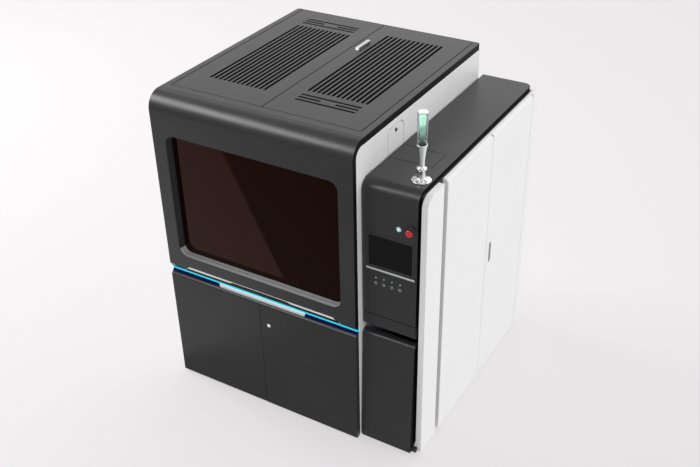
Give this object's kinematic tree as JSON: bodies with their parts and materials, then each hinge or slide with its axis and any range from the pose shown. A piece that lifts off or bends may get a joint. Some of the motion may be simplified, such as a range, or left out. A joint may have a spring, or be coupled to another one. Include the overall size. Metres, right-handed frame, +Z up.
{
  "type": "resin printer",
  "caption": "Cabinet resin 3D printer with a lifting tinted window door, vented roof lids, lower doors and a right-hand control annex with screen and signal light.",
  "frame": {"origin": "centre of the footprint on the floor, under the levelling feet", "axes": "+Z up, +X to the right of a person facing the window, where the annex is, and +Y to the back"},
  "size_m": [1.797, 1.69, 2.27],
  "materials": {
    "grey_frame_paint": "matte",
    "black_powder_coat": "satin",
    "white_powder_coat": "satin",
    "stainless_steel": "brushed",
    "dark_plastic": "matte",
    "silver_trim": "satin",
    "anodised_aluminium": "satin",
    "red_plastic": "satin",
    "light_strip": "satin",
    "pale_plastic": "satin",
    "signal_lens": "gloss",
    "chrome": "polished",
    "screen_glass": "gloss",
    "tinted_window": "gloss"
  },
  "bodies": {
    "cabinet": {"annex_base_plate": "grey_frame_paint", "annex_fascia": "black_powder_coat", "annex_plinth": "black_powder_coat", "annex_rear_panel": "white_powder_coat", "annex_roof": "black_powder_coat", "annex_side_frame": "grey_frame_paint", "base_plate": "grey_frame_paint", "control_modules": "dark_plastic", "corner_column": "white_powder_coat", "deck_plate": "stainless_steel", "estop_collar": "dark_plastic", "foot_front_left": "stainless_steel", "foot_front_right": "stainless_steel", "foot_rear_left": "stainless_steel", "foot_rear_right": "stainless_steel", "front_frame": "grey_frame_paint", "laser_head": "dark_plastic", "light_strip": "light_strip", "lower_grip_liner": "silver_trim", "optics_bench": "anodised_aluminium", "power_inlet": "dark_plastic", "rear_panel": "white_powder_coat", "resin_vat": "stainless_steel", "roof_rails": "black_powder_coat", "scanner_head": "anodised_aluminium", "side_panel_left": "white_powder_coat", "side_panel_right": "white_powder_coat", "signal_lens": "signal_lens", "signal_stand": "chrome", "touch_screen": "screen_glass", "z_column": "grey_frame_paint", "z_screw": "stainless_steel"},
    "window_door": {"upper_door_shell": "black_powder_coat", "upper_grip": "silver_trim", "window_surround": "black_powder_coat", "window_glass": "tinted_window"},
    "left_cabinet_door": {"lower_door_left": "black_powder_coat"},
    "right_cabinet_door": {"lower_door_right": "black_powder_coat"},
    "door_lock_barrel": {"door_lock": "silver_trim"},
    "left_lid": {"roof_lid_left": "black_powder_coat"},
    "right_lid": {"roof_lid_right": "black_powder_coat", "lid_handle": "silver_trim"},
    "annex_door": {"annex_lower_door": "black_powder_coat"},
    "drawer": {"keyboard_drawer": "black_powder_coat", "keyboard": "dark_plastic"},
    "estop_plunger": {"estop_stem": "dark_plastic"},
    "estop_knob": {"estop_head": "red_plastic"},
    "power_key": {"power_button": "pale_plastic"},
    "key_1": {"panel_button_1": "dark_plastic"},
    "key_2": {"panel_button_2": "dark_plastic"},
    "key_3": {"panel_button_3": "dark_plastic"},
    "key_4": {"panel_button_4": "dark_plastic"},
    "side_leaf_front": {"side_door_front": "white_powder_coat"},
    "side_leaf_rear": {"side_door_rear": "white_powder_coat"},
    "leaf_handle": {"side_handle": "dark_plastic"},
    "side_cover": {"side_hatch": "white_powder_coat"},
    "cover_latch": {"hatch_latch": "dark_plastic"},
    "elevator": {"elevator_carriage": "anodised_aluminium", "build_platform": "stainless_steel"},
    "recoater_carriage": {"recoater": "anodised_aluminium"}
  },
  "joints": [
    {"name": "window_door_lift", "type": "hinge", "parent": "cabinet", "child": "window_door", "pos_m": [-0.203, -0.7315, 2.1], "axis": [-1, 0, 0], "range_deg": [0, 75]},
    {"name": "left_cabinet_door_swing", "type": "hinge", "parent": "cabinet", "child": "left_cabinet_door", "pos_m": [-0.8985, -0.845, 0], "axis": [0, 0, -1], "range_deg": [0, 100]},
    {"name": "right_cabinet_door_swing", "type": "hinge", "parent": "cabinet", "child": "right_cabinet_door", "pos_m": [0.4925, -0.845, 0], "axis": [0, 0, 1], "range_deg": [0, 100]},
    {"name": "door_lock_turn", "type": "hinge", "parent": "right_cabinet_door", "child": "door_lock_barrel", "pos_m": [-0.141, -0.845, 0.676], "axis": [0, 1, 0], "range_deg": [0, 90]},
    {"name": "left_lid_lift", "type": "hinge", "parent": "cabinet", "child": "left_lid", "pos_m": [-0.8505, -0.845, 2.1], "axis": [0, -1, 0], "range_deg": [0, 100]},
    {"name": "right_lid_lift", "type": "hinge", "parent": "cabinet", "child": "right_lid", "pos_m": [0.4445, -0.845, 2.1], "axis": [0, 1, 0], "range_deg": [0, 100]},
    {"name": "annex_door_swing", "type": "hinge", "parent": "cabinet", "child": "annex_door", "pos_m": [0.8445, -0.799, 0], "axis": [0, 0, 1], "range_deg": [0, 100]},
    {"name": "drawer_slide", "type": "slide", "parent": "cabinet", "child": "drawer", "axis": [0, -1, 0], "range_m": [0, 0.28]},
    {"name": "estop_push", "type": "slide", "parent": "cabinet", "child": "estop_plunger", "axis": [0, 1, 0], "range_m": [0, 0.006], "stiffness_N_per_m": 800, "springref_m": -0.004},
    {"name": "estop_twist", "type": "hinge", "parent": "estop_plunger", "child": "estop_knob", "pos_m": [0.8075, -0.763, 1.628], "axis": [0, 1, 0], "range_deg": [0, 45], "stiffness_Nm_per_rad": 0.5, "springref_deg": -5.73},
    {"name": "power_button_press", "type": "slide", "parent": "cabinet", "child": "power_key", "axis": [0, 1, 0], "range_m": [0, 0.003], "stiffness_N_per_m": 400, "springref_m": -0.002},
    {"name": "panel_button_1_press", "type": "slide", "parent": "cabinet", "child": "key_1", "axis": [0, 1, 0], "range_m": [0, 0.0015], "stiffness_N_per_m": 400, "springref_m": -0.002},
    {"name": "panel_button_2_press", "type": "slide", "parent": "cabinet", "child": "key_2", "axis": [0, 1, 0], "range_m": [0, 0.0015], "stiffness_N_per_m": 400, "springref_m": -0.002},
    {"name": "panel_button_3_press", "type": "slide", "parent": "cabinet", "child": "key_3", "axis": [0, 1, 0], "range_m": [0, 0.0015], "stiffness_N_per_m": 400, "springref_m": -0.002},
    {"name": "panel_button_4_press", "type": "slide", "parent": "cabinet", "child": "key_4", "axis": [0, 1, 0], "range_m": [0, 0.0015], "stiffness_N_per_m": 400, "springref_m": -0.002},
    {"name": "side_leaf_front_swing", "type": "hinge", "parent": "cabinet", "child": "side_leaf_front", "pos_m": [0.8985, -0.51, 0], "axis": [0, 0, -1], "range_deg": [0, 100]},
    {"name": "side_leaf_rear_swing", "type": "hinge", "parent": "cabinet", "child": "side_leaf_rear", "pos_m": [0.8985, 0.732, 0], "axis": [0, 0, 1], "range_deg": [0, 100]},
    {"name": "side_handle_pull", "type": "hinge", "parent": "side_leaf_rear", "child": "leaf_handle", "pos_m": [0.8985, 0.1675, 0.911], "axis": [0, 1, 0], "range_deg": [0, 60], "stiffness_Nm_per_rad": 0.2, "springref_deg": -11.46},
    {"name": "side_cover_drop", "type": "hinge", "parent": "cabinet", "child": "side_cover", "pos_m": [0.4925, -0.845, 1.87], "axis": [0, 1, 0], "range_deg": [0, 80]},
    {"name": "cover_latch_turn", "type": "hinge", "parent": "side_cover", "child": "cover_latch", "pos_m": [0.4925, -0.3605, 1.986], "axis": [1, 0, 0], "range_deg": [0, 90]},
    {"name": "elevator_lift", "type": "slide", "parent": "cabinet", "child": "elevator", "axis": [0, 0, 1], "range_m": [-0.4, 0.28]},
    {"name": "recoater_sweep", "type": "slide", "parent": "cabinet", "child": "recoater_carriage", "axis": [0, 1, 0], "range_m": [0, 0.775]}
  ]
}
